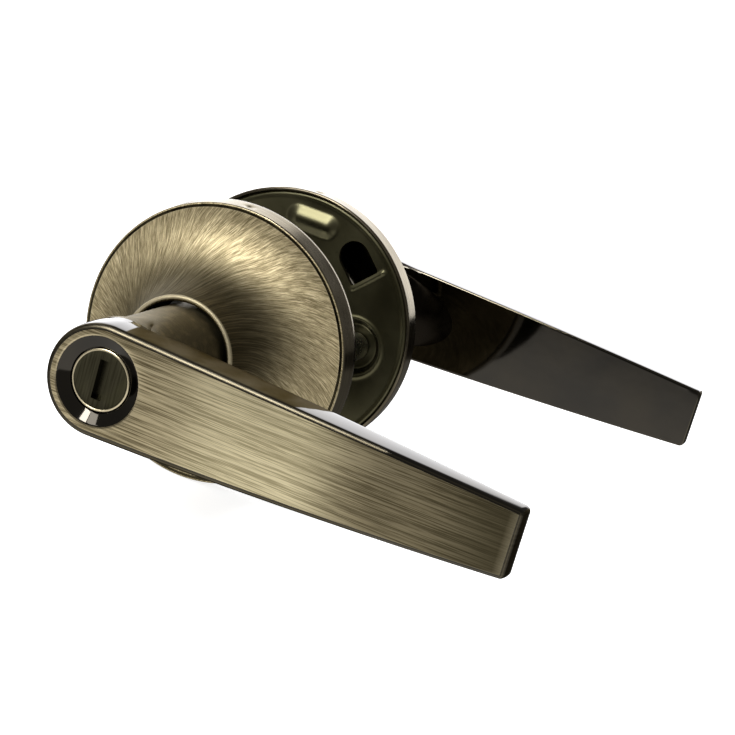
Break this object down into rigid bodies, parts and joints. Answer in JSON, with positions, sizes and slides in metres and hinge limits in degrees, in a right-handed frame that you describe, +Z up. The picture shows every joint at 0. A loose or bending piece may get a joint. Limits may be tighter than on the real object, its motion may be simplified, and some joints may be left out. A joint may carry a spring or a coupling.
{
  "type": "door lever handle",
  "caption": "Tubular privacy lever set: mirrored tapered levers on flared round roses, joined by a square spindle and through posts, with a turn button and slotted release.",
  "frame": {"origin": "on the spindle axis, half way through the door", "axes": "+X along the levers towards their tips, +Y along the spindle from the outside trim to the inside trim, +Z up"},
  "size_m": [0.129, 0.1691, 0.067],
  "materials": {
    "lever_brass": "antique brass, brushed along the lever on the outer face, polished at the sides and back",
    "rose_brass": "antique brass, satin brushed in fine radial swirls",
    "plug_brass": "dark satin antique brass with a bright rim",
    "plate_bronze": "stamped steel with a dark bronze plating",
    "zinc_steel": "bright zinc plated",
    "spring_steel": "oiled spring steel",
    "screw_brass": "antique brass plated steel",
    "black_steel": "black oxide",
    "bearing_bronze": "sintered bronze"
  },
  "bodies": {
    "trim": {"outside_rose": "rose_brass", "outside_plate": "plate_bronze", "threaded_posts": "zinc_steel", "outside_bushing": "bearing_bronze", "outside_return_spring": "spring_steel", "inside_rose": "rose_brass", "inside_plate": "plate_bronze", "through_screws": "screw_brass", "screw_washers": "spring_steel", "inside_bushing": "bearing_bronze", "inside_return_spring": "spring_steel"},
    "outside_lever": {"outside_lever": "lever_brass", "outside_cam": "zinc_steel", "outside_thrust_washer": "zinc_steel", "outside_retaining_ring": "spring_steel", "outside_lever_screw": "black_steel", "spindle": "zinc_steel", "lock_pin_spring": "spring_steel"},
    "inside_lever": {"inside_lever": "lever_brass", "inside_cam": "zinc_steel", "inside_thrust_washer": "zinc_steel", "inside_retaining_ring": "spring_steel", "inside_lever_screw": "black_steel", "button_detent_spring": "spring_steel"},
    "turn_button": {"turn_button": "plug_brass", "button_clip": "spring_steel", "lock_bar": "zinc_steel", "lock_cam": "zinc_steel"},
    "emergency_plug": {"emergency_plug": "plug_brass", "plug_clip": "spring_steel"},
    "lock_pin": {"lock_pin": "zinc_steel"}
  },
  "joints": [
    {"name": "outside_lever_turn", "type": "hinge", "parent": "trim", "child": "outside_lever", "pos_m": [0, 0, 0], "axis": [0, 1, 0], "range_deg": [-50, 50], "stiffness_Nm_per_rad": 0.8, "deforming": ["outside_return_spring"]},
    {"name": "inside_lever_turn", "type": "hinge", "parent": "trim", "child": "inside_lever", "pos_m": [0, 0, 0], "axis": [0, 1, 0], "range_deg": [-50, 50], "stiffness_Nm_per_rad": 0.8, "deforming": ["inside_return_spring"]},
    {"name": "button_turn", "type": "hinge", "parent": "inside_lever", "child": "turn_button", "pos_m": [0, 0, 0], "axis": [0, 1, 0], "range_deg": [0, 90]},
    {"name": "plug_turn", "type": "hinge", "parent": "outside_lever", "child": "emergency_plug", "pos_m": [0, 0, 0], "axis": [0, 1, 0], "range_deg": [0, 90]},
    {"name": "lock_pin_slide", "type": "slide", "parent": "outside_lever", "child": "lock_pin", "axis": [0, 0, 1], "range_m": [0, 0.0013], "deforming": ["lock_pin_spring"]}
  ],
  "couplings": [
    {"joint": "inside_lever_turn", "follows": "outside_lever_turn", "ratio": 1},
    {"joint": "plug_turn", "follows": "button_turn", "ratio": 1},
    {"joint": "lock_pin_slide", "follows": "button_turn", "m_per_rad": 0.0008276}
  ]
}
